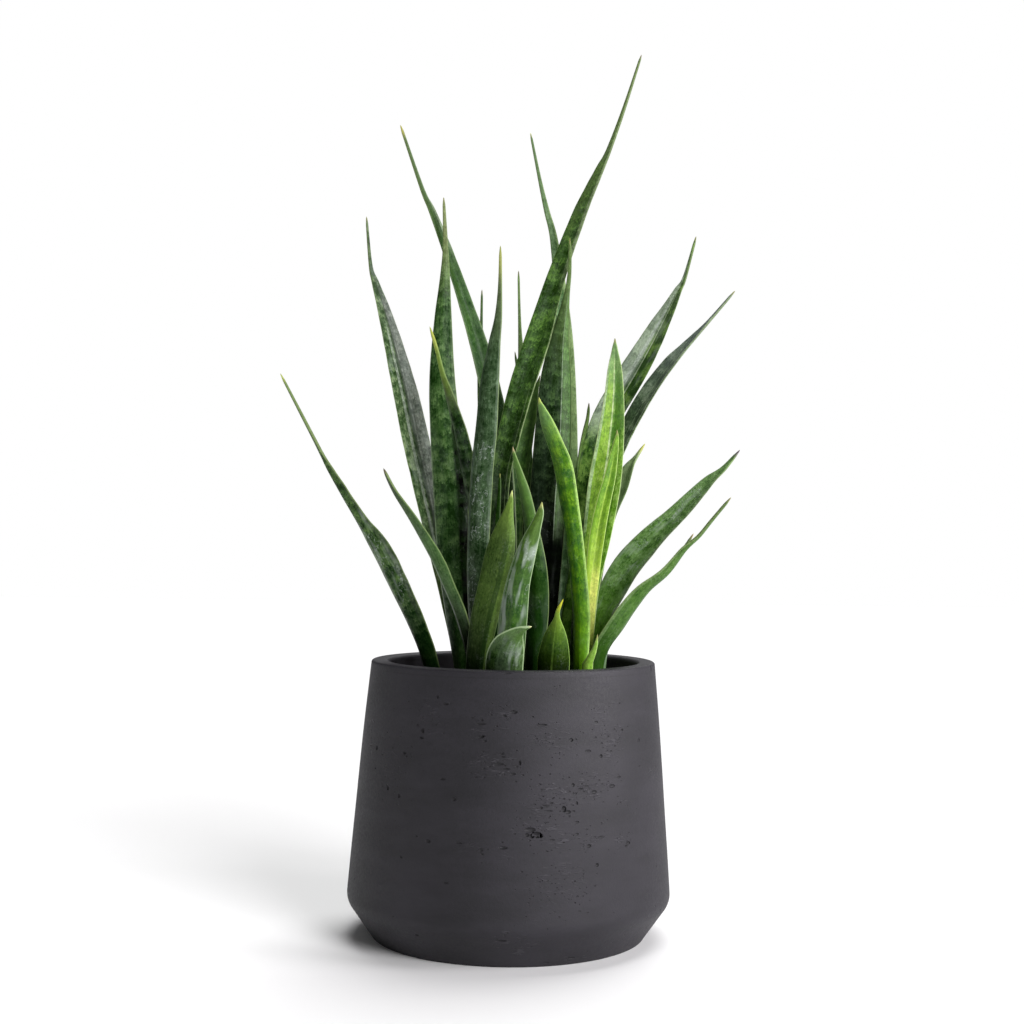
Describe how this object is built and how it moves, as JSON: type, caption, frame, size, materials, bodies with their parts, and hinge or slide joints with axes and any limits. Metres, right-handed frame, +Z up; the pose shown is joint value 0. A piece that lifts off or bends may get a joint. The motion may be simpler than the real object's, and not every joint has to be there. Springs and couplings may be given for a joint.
{
  "type": "potted star sansevieria",
  "caption": "Clump of stiff, channelled sword-shaped leaves with pointed tips, growing from potting mix in a round tapered cement pot that rests on its flat base.",
  "frame": {"origin": "centre of the pot's flat underside, on the surface it stands on", "axes": "+Z up along the pot's axis, +Y away from the side that the picture shows, +X to its right"},
  "size_m": [0.3235, 0.2292, 0.6594],
  "materials": {
    "cement": "matte",
    "potting_mix": "matte",
    "leaf": "satin",
    "young_leaf": "satin"
  },
  "bodies": {
    "root": {"pot": "cement", "potting_mix": "potting_mix", "leaf_far_left": "leaf", "leaf_left_tall": "leaf", "leaf_left_inner": "leaf", "leaf_left_front": "leaf", "leaf_slender": "leaf", "leaf_waxy": "leaf", "leaf_spear": "young_leaf", "leaf_tallest": "leaf", "leaf_long_left": "leaf", "leaf_middle_back": "leaf", "leaf_olive": "leaf", "leaf_glossy": "leaf", "leaf_curled": "leaf", "leaf_broad": "leaf", "leaf_leaning": "leaf", "leaf_bright_front": "young_leaf", "leaf_bright_outer": "young_leaf", "leaf_bright_inner": "young_leaf", "leaf_bright_sheath": "young_leaf", "leaf_wide": "leaf", "leaf_right_wide": "leaf", "leaf_right_narrow": "leaf", "leaf_right_short": "leaf", "leaf_right_low": "leaf", "leaf_right_front": "leaf", "leaf_right_small": "leaf", "leaf_back_tall": "leaf", "leaf_back_left": "leaf", "leaf_back_middle": "leaf", "leaf_back_short": "leaf", "leaf_back_right": "leaf"}
  },
  "joints": []
}
